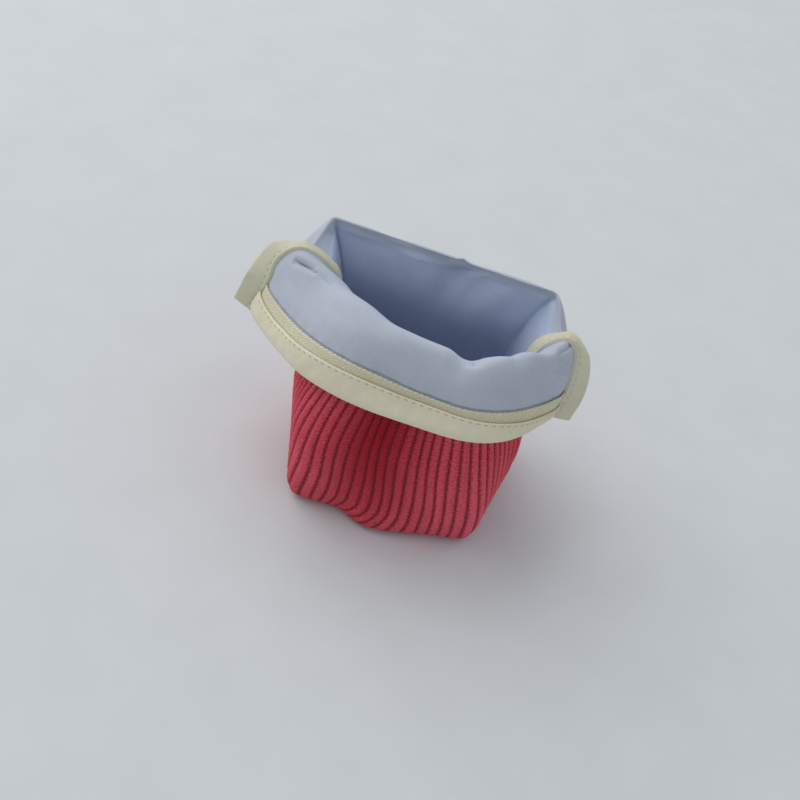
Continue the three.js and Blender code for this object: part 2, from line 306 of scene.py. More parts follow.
LINING_COTTON = woven_material(
    "lining_cotton", (179, 185, 198), (194, 200, 212), pitch=0.36, depth=0.00002, inside=(184, 196, 220)
)
BAND_COTTON = woven_material("band_cotton", (223, 215, 187), (238, 230, 204), pitch=0.5, depth=0.00004)
FIN_COTTON = woven_material("fin_cotton", (204, 201, 176), (220, 216, 192), pitch=0.5, depth=0.00004)
print("woven finishes:", LINING_COTTON.name, BAND_COTTON.name, FIN_COTTON.name)

# %% [markdown]
# ## The cloth's middle surface
#
# Lining and corduroy lie on each other like two skins, so both come from one surface between them.
# Ten sections describe it: from the flat of the base, up the wall, over the rim, and down the cuff outside.
# Each is a six-cornered outline with soft corners, and a smooth curve down each column joins them. A cloth
# simulation could roll the mouth down too, but its folds would fall where they like.

# %% Ten sections
# Columns: left seam x, right seam x, seam y, front corners' x and y, back corners' x and y, in millimetres
PLAN = np.array([
    [-31, 32.5, 0, -26, 29, -23.4, -29, 30, 28],  # flat of the base
    [-35.3, 37.3, 0, -30.2, 34, -28, -33, 34, 32],  # edge of the base
    [-37, 42.3, 0, -30.2, 34.5, -30.8, -33, 33.5, 33],  # low on the wall
    [-39, 43, 0, -28, 31.5, -32.2, -33.5, 29, 28],  # half way up
    [-34.5, 40.5, 0, -15, 28, -26.5, -36.5, 32, 21],  # high on the wall
    [-35.5, 42.4, 0, -6, 26, -22.5, -41.6, 37.4, 22.3],  # rim, inside
    [-46.5, 48.2, 0, -6, 27, -27.5, -42.5, 38.5, 22.3],  # rim, top
    [-53.4, 51, 0, -15, 31, -31.8, -44, 40.2, 24.5],  # rim, outside
    [-55, 51.2, -3, -26, 35, -33.5, -47, 43, 30],  # half way down the cuff
    [-59, 48.8, -3.5, -22, 35, -37.2, -50, 43.5, 34],  # edge of the cuff
])
# Columns: height of seams, front and back, reach of front and back corners, turn in degrees, front's swell
HEIGHTS = np.array([
    [1.45, 1.45, 1.45, 4.5, 6, 0, 4.5],
    [4.4, 4.2, 4.2, 4.5, 6, 0, 5.5],
    [18, 18, 18, 7, 8, 1, 1.5],
    [40, 40, 40, 12, 4, 3, 0],
    [64, 64, 64, 11, 1.4, 5.5, 0],
    [77, 77.5, 79, 9, 1.2, 6, 0],
    [83.5, 83.2, 83.8, 9, 1.8, 6, 0],
    [77, 78.5, 80, 14, 3, 6, 0],
    [66, 67, 67.5, 17, 10, 6, 0],
    [53, 58, 56, 19, 16, 6, 0],
])
HALF_WAY, RIM, MOUTH = 3, 6, len(PLAN) - 1  # rows, and so levels down the cloth
print("sections:", len(PLAN))

# %% One section as a ring
SEAM_REACH = 5.0
HALF_CORNER = 16  # steps from a corner's start to its middle
SWELL_X, SWELL_LEFT, SWELL_RIGHT = -1, 14, 34
FINE = 720  # points along each panel in the table of rings


def hump(x):
    """A hump of height 1 at 0 that falls to nothing at -1 and 1: the square of a cosine."""
    return np.cos(np.clip(x, -1, 1) * np.pi / 2) ** 2


def unit(vectors):
    """Vectors divided by their own lengths."""
    return vectors / np.linalg.norm(vectors, axis=-1, keepdims=True)


def running_length(grid):
    """Mean distance from the first row to each row of a grid, in millimetres."""
    steps = np.linalg.norm(np.diff(grid, axis=0), axis=-1).mean(axis=1)
    return np.concatenate([[0], np.cumsum(steps)])


def read_along(at, run, rows):
    """Points at given lengths of a run, straight from row to row."""
    return np.stack([np.interp(at, run, rows[:, axis]) for axis in range(3)], axis=-1)


def spaced(path):
    """Points at even steps of length along a path of points, without its last one."""
    run = running_length(path[:, None])
    return read_along(np.linspace(0, run[-1], FINE, endpoint=False), run, path)


def section_ring(plan, heights):
    """A section as points: the front panel from the left seam to the right one, then the back panel.

    Each corner is a parabola that starts and ends at its reach, and the rest is straight.
    """
    left, right, seam_y, front_left, front_right, front_y, back_left, back_right, back_y = plan
    seam_z, front_z, back_z, front_reach, back_reach, turn, swell = heights
    corners = np.array([
        [left, seam_y, seam_z], [front_left, front_y, front_z], [front_right, front_y, front_z],
        [right, seam_y, seam_z], [back_right, back_y, back_z], [back_left, back_y, back_z],
    ])
    c, s = math.cos(math.radians(turn)), math.sin(math.radians(turn))
    corners[:, :2] = corners[:, :2] @ np.array([[c, -s], [s, c]])
    reach = np.array([SEAM_REACH, front_reach, front_reach, SEAM_REACH, back_reach, back_reach])[:, None]
    start = corners + reach * unit(np.roll(corners, 1, axis=0) - corners)
    end = corners + reach * unit(np.roll(corners, -1, axis=0) - corners)
    t = np.linspace(0, 1, 2 * HALF_CORNER + 1)[:, None]
    bends = [(1 - t) ** 2 * a + 2 * t * (1 - t) * b + t**2 * d for a, b, d in zip(start, corners, end)]
    front = spaced(np.vstack([bends[0][HALF_CORNER:], bends[1], bends[2], bends[3][:HALF_CORNER + 1]]))
    back = spaced(np.vstack([bends[3][HALF_CORNER:], bends[4], bends[5], bends[0][:HALF_CORNER + 1]]))
    along = front[:, 0] - SWELL_X
    front[:, 1] -= swell * hump(along / np.where(along < 0, SWELL_LEFT, SWELL_RIGHT))
    return np.vstack([front, back])


rings = np.stack([section_ring(plan, heights) for plan, heights in zip(PLAN, HEIGHTS)])
knots = np.concatenate([2 * rings[:1] - rings[1:2], rings, 2 * rings[-1:] - rings[-2:-1]])
print("rings:", rings.shape)

# %% A smooth surface through the rings
SEAM_RAMP = 0.08  # in panels
FOLD_REACH, FOLD_RAMP, FLAT_REACH = 1.15, 0.15, 0.25  # in levels
PLACE_STEP, LEVEL_STEP = 1 / 72, 0.05
UP = np.array([0, 0, 1.0])


def at_back(place):
    """Full on the back panel, nothing on the front one, with a short ramp beside each seam."""
    return np.clip((0.5 - np.abs(np.mod(place, 2.0) - 1.5)) / SEAM_RAMP, 0, 1)


def smooth_cloth(place, level):
    """The surface at a place round the mouth and a level down the cloth.

    Place 0 is the left seam, 1 the right one, and 2 the left one again round the back. Between two rings it
    is the uniform Catmull-Rom cubic through four of them, and between two columns it is straight. On the
    back rim it goes straight from ring to ring, because there the cloth is pressed into a sharp fold.
    """
    place, level = np.broadcast_arrays(np.asarray(place, float), np.asarray(level, float))
    column = np.mod(place, 2.0) * FINE
    low = np.floor(column).astype(int) % (2 * FINE)
    share = (column - np.floor(column))[..., None]
    row = np.clip(np.floor(level).astype(int), 0, MOUTH - 1)
    t = (level - row)[..., None]
    a, b, c, d = (
        knots[row + k, low] * (1 - share) + knots[row + k, (low + 1) % (2 * FINE)] * share for k in range(4)
    )
    bend = (2 * a - 5 * b + 4 * c - d) * t + (3 * b - a - 3 * c + d) * t**2
    curve, straight = 0.5 * (2 * b + (c - a + bend) * t), b + (c - b) * t
    sharp = at_back(place) * np.clip((FOLD_REACH - np.abs(level - RIM)) / FOLD_RAMP, 0, 1)
    return curve + (straight - curve) * sharp[..., None]


def lining_side(surface, place, level):
    """The unit normal towards the lining: the way along the cloth crossed with the way across it.

    On the flat of the base it turns smoothly to straight up.
    """
    level = np.asarray(level, float)
    ahead = surface(place, level + LEVEL_STEP) - surface(place, np.maximum(level - LEVEL_STEP, 0))
    across = surface(place + PLACE_STEP, level) - surface(place - PLACE_STEP, level)
    normal = unit(np.cross(ahead, across))
    flat = hump(np.broadcast_to(level, normal.shape[:-1]) / FLAT_REACH)[..., None]
    return unit(normal * (1 - flat) + UP * flat)


print("top of the front rim:", smooth_cloth(0.5, RIM).round(1))

# %% [markdown]
# ## Folds and creases
#
# Cloth that is rolled and pushed open never stays smooth. Broad folds are soft humps that swell and fade over
# the surface. Creases are narrower: each follows a short line and falls away on both sides of it, sharply, as
# at a corner, or roundly, as where the roll is pinched beside a seam. They could be sculpted by hand, but
# rows of a table are easier to move, one fold at a time.

# %% Broad folds
# Columns: level, its reach, place, its reach, height towards the lining, drop, drift of place for each level
FOLDS = np.array([
    [3.4, 1.5, 0.46, 0.10, 2.5, 0, 0],  # valley down the front
    [4.6, 1.6, 1.47, 0.06, -1.6, 0, -0.04],  # dart in the back wall
    [6, 2, 0.63, 0.06, 0, 2, 0],  # dip in the front roll
    [6, 2, 0.47, 0.17, 0, -1.4, 0],  # swell on its left
    [6, 2, 0.73, 0.07, 0, -2, 0],  # swell on its right
    [6, 2.4, 1, 0.18, 0, 4.2, 0],  # drop towards the right seam
    [6, 2, 0.985, 0.055, 0, -2.2, 0],  # cloth bunched beside that seam
    [6, 2, 0.9, 0.07, 0, 1.2, 0],  # and a low place before it
    [6, 2.4, 0, 0.12, 0, 2.2, 0],  # drop towards the left seam
    [6, 1.8, 0.16, 0.14, 0, 2.6, 0],  # hollow in the roll's left half
    [4.7, 1.3, 1.57, 0.07, 1.0, 0, 0.03],  # soft fold left of the dart
    [4.2, 1.4, 1.35, 0.08, 1.0, 0, -0.05],  # and one right of it
    [6, 2, 1.92, 0.09, 0, 3.2, 0],  # hollow behind the left seam
    [6, 2, 1.08, 0.09, 0, 2.8, 0],  # hollow behind the right seam
])


def round_by(place, centre):
    """The shorter way round from a centre to a place, in panels."""
    return np.mod(place - centre + 1, 2) - 1


def fold_shares(place, level):
    """Each broad fold's share of its full size: a hump down the cloth times a hump round it."""
    for row_level, reach, row_place, place_reach, height, drop, lean in FOLDS:
        down = level - row_level
        share = hump(down / reach) * hump(round_by(place, row_place + lean * down) / place_reach)
        yield share, height, drop


print("broad folds:", len(FOLDS))

# %% Creases
PANEL_MM, LEVEL_MM = 118.0, 14.0
# Columns: place and level of one end and of the other, width in millimetres, height, drop, and 1 if sharp
CREASES = np.array([
    [0.668, 5.2, 0.664, 6.3, 4.5, 0.0, 1.9, 1],  # sharp bottom of the front dip
    [0.03, 6.57, 0.1, 6.22, 4.4, -4.6, 0.0, 0],  # pinch on the left of the roll
    [0.08, 6.28, 0.18, 6.14, 4.0, -0.6, 0.0, 0],  # fold that runs on from it
    [0.962, 6.02, 1.006, 6.34, 4.2, -5.0, 0.0, 0],  # pinch beside the right seam
    [0.935, 6.8, 0.99, 7.6, 4.6, -1.4, 0.0, 0],  # pucker under it
    [0.9, 7.3, 0.975, 7.75, 3.6, -0.7, 0.0, 0],  # and a second one
    [1.455, 5.9, 1.475, 4.3, 5.0, 0.6, 0.0, 0],  # ridge beside the dart
    [1.456, 6.25, 1.456, 5.75, 3.0, 0.0, -1.0, 1],  # small peak on the back rim
    [1.823, 5.8, 1.812, 4.0, 2.2, -0.9, 0.0, 1],  # corner of the back and the left side
    [1.812, 4.2, 1.767, 2.6, 2.6, -0.7, 0.0, 1],  # and on down the wall
    [1.177, 5.8, 1.202, 4.0, 2.2, -0.9, 0.0, 1],  # corner of the back and the right side
    [1.202, 4.2, 1.254, 2.6, 2.6, -0.7, 0.0, 1],  # and on down the wall
    [1.872, 5.9, 1.84, 4.8, 2.4, -0.6, 0.0, 1],  # small facet beside the left corner
])


def crease_shares(place, level):
    """Each crease's share: it falls from its line as a notch or as a round trough, and fades to its ends."""
    for p0, l0, p1, l1, width, height, drop, sharp in CREASES:
        x, y = round_by(place, p0) * PANEL_MM, (level - l0) * LEVEL_MM
        run_x, run_y = (p1 - p0) * PANEL_MM, (l1 - l0) * LEVEL_MM
        along = np.clip((x * run_x + y * run_y) / (run_x**2 + run_y**2), 0, 1)
        away = np.clip(np.hypot(x - along * run_x, y - along * run_y) / width, 0, 1)
        across = sharp * (1 - away) ** 2 + (1 - sharp) * (1 - away**2) ** 2
        yield across * np.sin(np.pi * along) ** (1 - 0.5 * sharp), height, drop


print("creases:", len(CREASES))

# %% The folded surface and its layers


def folded(place, level, kinds):
    """The smooth cloth, pushed along its normal by each fold's height and lowered by its drop."""
    place, level = np.broadcast_arrays(np.asarray(place, float), np.asarray(level, float))
    push, fall = np.zeros(place.shape), np.zeros(place.shape)
    for shares in kinds:
        for share, height, drop in shares(place, level):
            push, fall = push + share * height, fall + share * drop
    normal = lining_side(smooth_cloth, place, level)
    return smooth_cloth(place, level) + normal * push[..., None] - UP * fall[..., None]


def middle(place, level):
    """The cloth with all its folds and creases."""
    return folded(place, level, (fold_shares, crease_shares))


def uncreased(place, level):
    """The cloth with its broad folds only, for the stiff side seams."""
    return folded(place, level, (fold_shares,))


def layer(place, level, distance, surface=middle):
    """A point at a distance from the folded surface, along its normal towards the lining."""
    return surface(place, level) + lining_side(surface, place, level) * np.asarray(distance, float)[..., None]


print("the same point of the rim, folded:", middle(0.5, RIM).round(1))

# %% [markdown]
# ## Where tape and binding lie
#
# Along the cuff's edge the zip tape and the binding wander a little, as sewn strips do, and at the right they
# are pulled under. Each could follow a curve of its own, but strips and cloths have to meet, so one table
# gives all the edges, and both big cloths end inside the binding.

# %% Edges along the cuff
# Columns: share of the way along the panel, then levels of the tape's top and of the binding's two edges
STRIP_EDGES = np.array([
    [0, 7.98, 8.25, 9.0], [0.08, 8.0, 8.36, 9.12], [0.17, 7.9, 8.2, 9.16], [0.25, 7.77, 8.03, 9.12],
    [0.34, 7.65, 7.89, 8.98], [0.42, 7.62, 7.85, 8.96], [0.51, 7.72, 7.94, 8.96], [0.64, 7.78, 7.97, 8.93],
    [0.76, 7.76, 8.05, 8.91], [0.84, 7.85, 8.17, 8.87], [0.93, 8.04, 8.42, 8.9], [1, 8.1, 8.55, 8.95],
])
TAPE_EDGE, BAND_EDGE, BAND_FOOT = 1, 2, 3  # its columns
EDGE_EASE, RAW_EDGE_SHARE = 0.03, 0.45
CLOTH_LOOSE, CLOTH_END = 7.3, 8.5


def eased(x, table, column, reach):
    """A table's column between its rows, as the mean of three straight readings a reach apart."""
    return sum(np.interp(x + k * reach, table[:, 0], table[:, column]) for k in (-1, 0, 1)) / 3


def strip_edge(place, column):
    """Level of a strip's edge at a place: the table runs along the front panel and back along the other."""
    return eased(1 - np.abs(np.mod(place, 2.0) - 1), STRIP_EDGES, column, EDGE_EASE)


def cloth_end(place):
    """Level of the cloths' raw edges: a little less than half way down inside the binding."""
    top = strip_edge(place, BAND_EDGE)
    return top + RAW_EDGE_SHARE * (strip_edge(place, BAND_FOOT) - top)


def cloth_levels(place, *stretches):
    """Levels at each place, in stretches of (start, end, rows), of which only the last keeps its end.

    Below the roll each level gains a share of the way to the raw edge, so the rows spread evenly down to it.
    """
    *upper, last = stretches
    rows = [np.linspace(*stretch, endpoint=False) for stretch in upper]
    level = np.concatenate([*rows, np.linspace(*last)])[:, None]
    spare = np.clip(level - CLOTH_LOOSE, 0, None) * (cloth_end(place[None]) - CLOTH_END)
    return level + spare / (CLOTH_END - CLOTH_LOOSE)


print("tape starts at level", strip_edge(0.5, TAPE_EDGE).round(2))

# %% [markdown]
# ## From grids to meshes
#
# Nearly every piece is a grid of points. Modelling tools could build the faces one by one, but whole arrays
# are quicker, and every point stays known. A bag closes at a pole in the middle of its base, a strip with a
# cap at each end. Two maps go with them: `cloth`, in millimetres along and across the cloth for the weave,
# and `OFBake`, which spreads the piece over one square.

# %% Faces and the mesh
SHARP_EDGE = math.radians(60)


def grid_corners(rows, columns):
    """Row, column and point number of each quad's four corners: the last column joins the first."""
    r, c = (x.ravel() for x in np.meshgrid(np.arange(rows - 1), np.arange(columns), indexing="ij"))
    row, column = np.stack([r, r + 1, r + 1, r], 1), np.stack([c, c, c + 1, c + 1], 1)
    return row, column, row * columns + column % columns


def volume_of(points, polygons):
    """The closed mesh's volume: a sixth of the triple products of the triangles that fan out of each face."""
    total = 0.0
    for faces in polygons:
        p = points[faces]
        for k in range(1, p.shape[1] - 1):
            total += np.einsum("ij,ij->", p[:, 0], np.cross(p[:, k], p[:, k + 1])) / 6
    return total


def put_in_mesh(name, points, polygons, maps, material, values=None):
    """A new object from points in millimetres and groups of faces, each with its corners' maps.

    Faces are turned round together if the closed mesh's volume comes out negative.
    """
    volume = volume_of(points, polygons)
    if volume < 0:
        polygons = [faces[:, ::-1] for faces in polygons]
        maps = {key: [uv[:, ::-1] for uv in groups] for key, groups in maps.items()}
    mesh = bpy.data.meshes.new(name)
    corners = np.concatenate([faces.ravel() for faces in polygons])
    sizes = np.concatenate([np.full(len(faces), faces.shape[1]) for faces in polygons])
    mesh.vertices.add(len(points))
    mesh.vertices.foreach_set("co", (points * MM).astype(np.float32).ravel())
    mesh.loops.add(len(corners))
    mesh.loops.foreach_set("vertex_index", corners.astype(np.int32))
    mesh.polygons.add(len(sizes))
    mesh.polygons.foreach_set("loop_start", (np.cumsum(sizes) - sizes).astype(np.int32))
    mesh.polygons.foreach_set("use_smooth", np.ones(len(sizes), bool))
    mesh.update(calc_edges=True)
    for key, groups in maps.items():
        flat = np.concatenate([uv.reshape(-1, 2) for uv in groups])
        mesh.uv_layers.new(name=key).uv.foreach_set("vector", flat.astype(np.float32).ravel())
    for key, numbers in (values or {}).items():
        mesh.attributes.new(key, "FLOAT", "POINT").data.foreach_set("value", numbers.astype(np.float32))
    mesh.validate()
    mesh.set_sharp_from_angle(angle=SHARP_EDGE)
    mesh.materials.append(material)
    print(f"{name}: {int((sizes - 2).sum())} triangles, {abs(volume) / 1000:.1f} cubic centimetres")
    return put_in_scene(name, mesh)


print("quads in a ring of 3 x 4 points:", len(grid_corners(3, 4)[0]))

# %% A bag and a strip
CAP_ROOM = 0.02  # share of the square that each of a strip's caps takes in OFBake


def bag_mesh(name, grid, material, values):
    """A grid that closes round its columns, with a fan to a pole before its first row and after its last."""
    rows, columns = grid.shape[:2]
    points = np.vstack([grid.reshape(-1, 3), grid[0].mean(axis=0), grid[-1].mean(axis=0)])
    row, column, quads = grid_corners(rows, columns)
    here = np.arange(columns)
    there = (here + 1) % columns
    pole, last = np.full(columns, rows * columns), (rows - 1) * columns
    fans = [np.stack([pole, here, there], 1), np.stack([last + here, pole + 1, last + there], 1)]
    down = running_length(grid)
    maps = {}
    for key, width, v in (("cloth", 2 * PANEL_MM, down), ("OFBake", 1.0, down / down[-1])):
        u, tip = np.arange(columns + 1) / columns * width, (here + 0.5) / columns * width
        maps[key] = [np.stack([u[column], v[row]], -1)]
        for across, end in (([tip, u[:-1], u[1:]], v[0]), ([u[:-1], tip, u[1:]], v[-1])):
            flat = np.stack(across, 1)
            maps[key].append(np.stack([flat, np.full(flat.shape, end)], -1))
    return put_in_mesh(name, points, [quads, *fans], maps, material, values)


def strip_mesh(name, grid, material):
    """A grid whose columns run round a closed outline, with a flat cap on its first row and its last."""
    rows, columns = grid.shape[:2]
    row, column, quads = grid_corners(rows, columns)
    ring = np.arange(columns)[None]
    caps = [ring, (rows - 1) * columns + ring[:, ::-1]]
    along = running_length(grid)
    girth = running_length(np.concatenate([grid, grid[:, :1]], 1).swapaxes(0, 1))
    spread = along / along[-1] * (1 - 2 * CAP_ROOM) + CAP_ROOM
    maps = {}
    for key, u, v, room in (("cloth", along, girth, 1.0), ("OFBake", spread, girth / girth[-1], CAP_ROOM)):
        maps[key] = [np.stack([u[row], v[column]], -1)]
        for end, turn in ((u[0], 1), (u[-1], -1)):
            zigzag = end - turn * room * (ring % 2)
            maps[key].append(np.stack([zigzag, v[None, :-1][:, ::turn]], -1))
    return put_in_mesh(name, grid.reshape(-1, 3), [quads, *caps], maps, material)


print("grids can become bags and strips")

# %% [markdown]
# ## Corduroy
#
# Corduroy is woven with rows of cut pile, called wales. Here they are wide: 36 on each panel, about 3.5 mm
# apart on the walls, with a groove between them that is painted darker, partly as bare ground and partly as
# shade. Bump could draw them, but here they are real relief, eight columns to each, because their edges break
# up the outline. Only cross marks and fuzz are bump.

# %% Corduroy's finish
PILE_DARK, PILE_LIGHT = (214, 72, 88), (244, 104, 120)
# The deeper colour of the valley down the front is painted shade.
VALLEY_SHADE_COLOUR, GROOVE_GROUND_AND_SHADE = (172, 32, 46), (128, 24, 38)
MARK_PITCH = 0.95


def corduroy_material():
    """Pile that darkens into its grooves, partly as bare ground and partly as painted shade, with ragged
    cross marks that are strongest at a wale's sides.

    Noise across the cloth gives each wale a tone, and the colour turns deeper where the painted shade of the
    valley down the front grows.
    """
    made, tree, shader = new_material("corduroy", 0.95, sheen=0.25, sheen_colour=byte_colour(236, 130, 142))
    cloth, pile = cloth_place(tree), point_number(tree, "pile")
    split = add_node(tree, "ShaderNodeSeparateXYZ", {0: cloth})
    ragged = noise(tree, cloth, scale=0.55, detail=3.0)
    fuzz = noise(tree, cloth, scale=1.4, detail=4.0, roughness=0.65)
    down = sums(tree, "DIVIDE", split.outputs[1], MARK_PITCH)
    marks = stripes(tree, sums(tree, "MULTIPLY_ADD", ragged, 2.4, down))
    sides = sums(tree, "MULTIPLY", marks, sums(tree, "MULTIPLY_ADD", pile, -0.75, 1.1))
    across = add_node(tree, "ShaderNodeCombineXYZ", {0: split.outputs[0]}).outputs[0]
    each = sums(tree, "MULTIPLY_ADD", noise(tree, across, scale=0.35, detail=1.0), 0.5, -0.17)
    lit = sums(tree, "MULTIPLY_ADD", sides, 0.36, sums(tree, "MULTIPLY_ADD", fuzz, 1.5, each))
    drift = drifting(tree, PILE_DARK, PILE_LIGHT, grain=0.9)
    # painted shade: the colour turns deeper in the valley down the front
    deep = mixed(tree, point_number(tree, "valley_shade"), drift, byte_colour(*VALLEY_SHADE_COLOUR))
    frayed = sums(tree, "MULTIPLY_ADD", sums(tree, "SUBTRACT", marks, 0.5), 0.1, pile)
    frayed = sums(tree, "MULTIPLY_ADD", sums(tree, "SUBTRACT", fuzz, 0.5), 0.9, frayed)
    # the colour darkens into the grooves: partly the bare ground between wales, partly painted shade
    shade = add_node(tree, "ShaderNodeMapRange", {"Value": frayed, "From Min": 0.0, "From Max": 0.72})
    colour = mixed(tree, shade.outputs[0], byte_colour(*GROOVE_GROUND_AND_SHADE), scaled(tree, deep, lit))
    coated(tree, shader, colour, sums(tree, "MULTIPLY_ADD", fuzz, 0.8, sides), 0.00016)
    return made


CORDUROY = corduroy_material()
print("finish:", CORDUROY.name)

# %% Wales, leaning and bending
WALES, PER_WALE = 36, 8
SEAM_GROOVE_MM = 1.6
# Columns: place, then how far a wale leans in panels for each level it climbs, below half way up and above
WALE_LEAN = np.array([
    [0, 0.05, 0.028], [0.15, 0.05, 0.028], [0.25, 0.033, 0.016], [0.35, 0.018, 0.012], [0.45, 0.003, 0.003],
    [0.55, 0.002, 0.002], [0.65, -0.008, -0.008], [0.75, -0.016, -0.02], [0.85, -0.03, -0.05],
    [1, -0.04, -0.05], [1.15, -0.03, -0.03], [1.3, -0.01, -0.01], [1.7, 0.01, 0.01], [1.85, 0.03, 0.028],
    [2, 0.05, 0.028],
])
LEAN_REACH = 1.2  # levels above half way up, beyond which a wale leans no further


def wale_profile(place):
    """A wale's height round the cloth: a power of a sine that starts and ends in the grooves beside it."""
    return np.sin(np.pi * np.mod(place * WALES, 1.0)) ** 1.2


def wale_wander(place, level):
    """How far round the cloth a wale has wandered at a level, in panels.

    The wales close in on each other with the height, at the pleat in the base they bend to the left, and all
    over they waver a little.
    """
    low, high = (np.interp(np.mod(place, 2.0), WALE_LEAN[:, 0], WALE_LEAN[:, k]) for k in (1, 2))
    climb = level - HALF_WAY
    lean = low * np.minimum(climb, 0) + high * np.clip(climb, 0, LEAN_REACH)
    pleat = -0.06 * hump((level - 0.5) / 1.2) * hump(round_by(place, 0.47) / 0.16)
    waver = 0.0011 * np.sin(2 * np.pi * (0.45 * level + 7 * place)) * hump(climb / 4)
    return lean + pleat + waver


def seam_groove(place):
    """The narrow valley where the two panels are sewn together, as a bell curve round each seam."""
    return sum(np.exp(-((round_by(place, seam) * PANEL_MM / SEAM_GROOVE_MM) ** 2)) for seam in (0, 1))


print("wales on a panel:", WALES)

# %% Corduroy shell
NEAR, FAR, WALE_RISE = -0.15, -1.3, 0.75  # layers of the back and of the grooves, and a wale's height
PILE_START, PILE_END, PILE_FADE = 0.35, 8.1, 0.4  # in levels
BASE_PRESS, BASE_REACH = 0.14, 0.5


def floor_rows(ring, shares):
    """Rings that shrink from a ring towards its own middle, from the smallest share up."""
    centre = ring.mean(axis=0)
    return centre + (ring - centre) * np.asarray(shares)[:, None, None]


def bag_grid(first, second, shares):
    """Two walls as one grid: from the middle of one floor out and up its wall, then back down the other."""
    floors = floor_rows(first[0], shares), floor_rows(second[0], shares)[::-1]
    return np.concatenate([floors[0], first, second[::-1], floors[1]])


cord_place = np.arange(2 * WALES * PER_WALE) / (WALES * PER_WALE)
rib_levels = cloth_levels(cord_place, (0, 1, 14), (1, 5, 56), (5, CLOTH_END, 48))
back_levels = cloth_levels(cord_place, (0, 5, 12), (5, CLOTH_END, 24))
rib_place = cord_place[None] + wale_wander(cord_place[None], rib_levels)
back_place = cord_place[None] + wale_wander(cord_place[None], back_levels)
turned_over = hump((rib_levels - RIM) / 1.1)
show = np.clip(rib_levels / PILE_START, 0, 1) * np.clip((PILE_END - rib_levels) / PILE_FADE, 0, 1)
show = show * (1 - 0.7 * turned_over)
pile = wale_profile(cord_place)[None] * show
pressed_flat = 1 - 0.6 * np.clip(2 - rib_levels, 0, 1)
depth = FAR + 0.6 * turned_over - WALE_RISE * pile * pressed_flat + 0.5 * show * seam_groove(rib_place)
depth -= BASE_PRESS * np.clip(1 - rib_levels / BASE_REACH, 0, 1)
room = -0.02 - 0.9 * np.abs(rib_levels - RIM)  # in the back rim's sharp fold
depth += (np.maximum(depth, room) - depth) * at_back(rib_place)
outer = layer(rib_place, rib_levels, depth)
inner = layer(back_place, back_levels, np.maximum(NEAR, -0.01 - 0.3 * np.abs(back_levels - RIM)))
cord_shares = np.linspace(0.12, 1, 6, endpoint=False)
cord_grid = bag_grid(inner, outer, cord_shares)
print("corduroy grid:", cord_grid.shape)

# %% Pile and painted valley shade, as numbers on the points
FLOOR_PILE = 0.6  # on the underside of the base


def outside_numbers(numbers, on_floor):
    """Numbers for the corduroy's points: nothing inside, the given rows outside, and one for the floor."""
    unseen = np.zeros((len(cord_shares) + len(back_levels), len(cord_place)))
    floor = np.full((len(cord_shares), len(cord_place)), on_floor)
    return np.append(np.concatenate([unseen, numbers[::-1], floor]).ravel(), [0.0, on_floor])


# Painted shade: a hump over the concave valley down the front, where the corduroy's colour turns deeper.
valley_shade = hump(round_by(rib_place, 0.46) / 0.24) * hump((rib_levels - 3.2) / 3.0)
corduroy = bag_mesh("corduroy_cloth", cord_grid, CORDUROY, {
    "pile": outside_numbers(pile, FLOOR_PILE), "valley_shade": outside_numbers(valley_shade, 0.0),
})

# %% [markdown]
# ## Lining
#
# The lining is one layer of plain cotton that follows the corduroy inside, turns over the rim, and shows on
# the cuff. It has small waves of its own, because it is slacker, and it is pulled into a shallow groove where
# the zip tape is sewn on. A Solidify modifier could thicken a single sheet, but the face that shows needs
# many more points than the hidden one.

# %% Lining cloth
LINING_NEAR, LINING_FAR, LINING_COLUMNS = 0.15, 1.15, 210
DEEP_PINCH = -3  # creases pushed in further than this draw the lining thin
rng = np.random.default_rng(7)


def slack(place, level, size, waves):
    """Slight slackness: a sum of waves with random headings, 7 to 30 mm long, in millimetres of height."""
    heading, phase = rng.uniform(0, np.pi, waves), rng.uniform(0, 2 * np.pi, waves)
    turns = np.round(np.cos(heading) * 2 * PANEL_MM / rng.uniform(7, 30, waves))
    drops = np.sin(heading) * LEVEL_MM / rng.uniform(7, 30, waves)
    total = sum(np.sin(np.pi * k * place + 2 * np.pi * d * level + f) for k, d, f in zip(turns, drops, phase))
    return size * total / math.sqrt(waves)


around = (np.arange(2 * LINING_COLUMNS) / LINING_COLUMNS)[None]
face_levels = cloth_levels(
    around[0], (0, 1, 12), (1, 5, 50), (5, CLOTH_LOOSE, 70), (CLOTH_LOOSE, 8.05, 40), (8.05, CLOTH_END, 5)
)
hidden_levels = cloth_levels(around[0], (0, 5, 16), (5, CLOTH_END, 24))
sag = slack(around, face_levels, size=0.14, waves=26)
below_tape = face_levels - strip_edge(around, TAPE_EDGE)
sewn = -0.5 * np.exp(-(((below_tape + 0.02) / 0.03) ** 2))
puckers = 0.1 * np.sin(2 * np.pi * around * 22) * np.exp(-np.abs(below_tape + 0.1) / 0.22)
pressed = 0.8 * at_back(around) * hump((face_levels - RIM) / 2.6)
pinched = sum(share for share, height, _ in crease_shares(around, face_levels) if height < DEEP_PINCH)
face = layer(around, face_levels, LINING_FAR - pressed - 0.5 * pinched + sag + sewn + puckers)
hidden = layer(around, hidden_levels, np.full(hidden_levels.shape, LINING_NEAR))
lining_shares = np.linspace(0.1, 1, 9, endpoint=False)
# Painted shade: the share of the inside colour, full in the pouch, fading out over the rim, none on the cuff
# or the hidden side.
inside = np.concatenate([
    np.ones((len(lining_shares), around.size)), np.clip((RIM + 0.1 - face_levels) / 1.2, 0, 1),
    np.zeros((len(hidden_levels) + len(lining_shares), around.size)),
])
lining = bag_mesh("lining_cloth", bag_grid(face, hidden, lining_shares), LINING_COTTON, {
    "inside": np.append(inside.ravel(), [1.0, 0.0]),
})

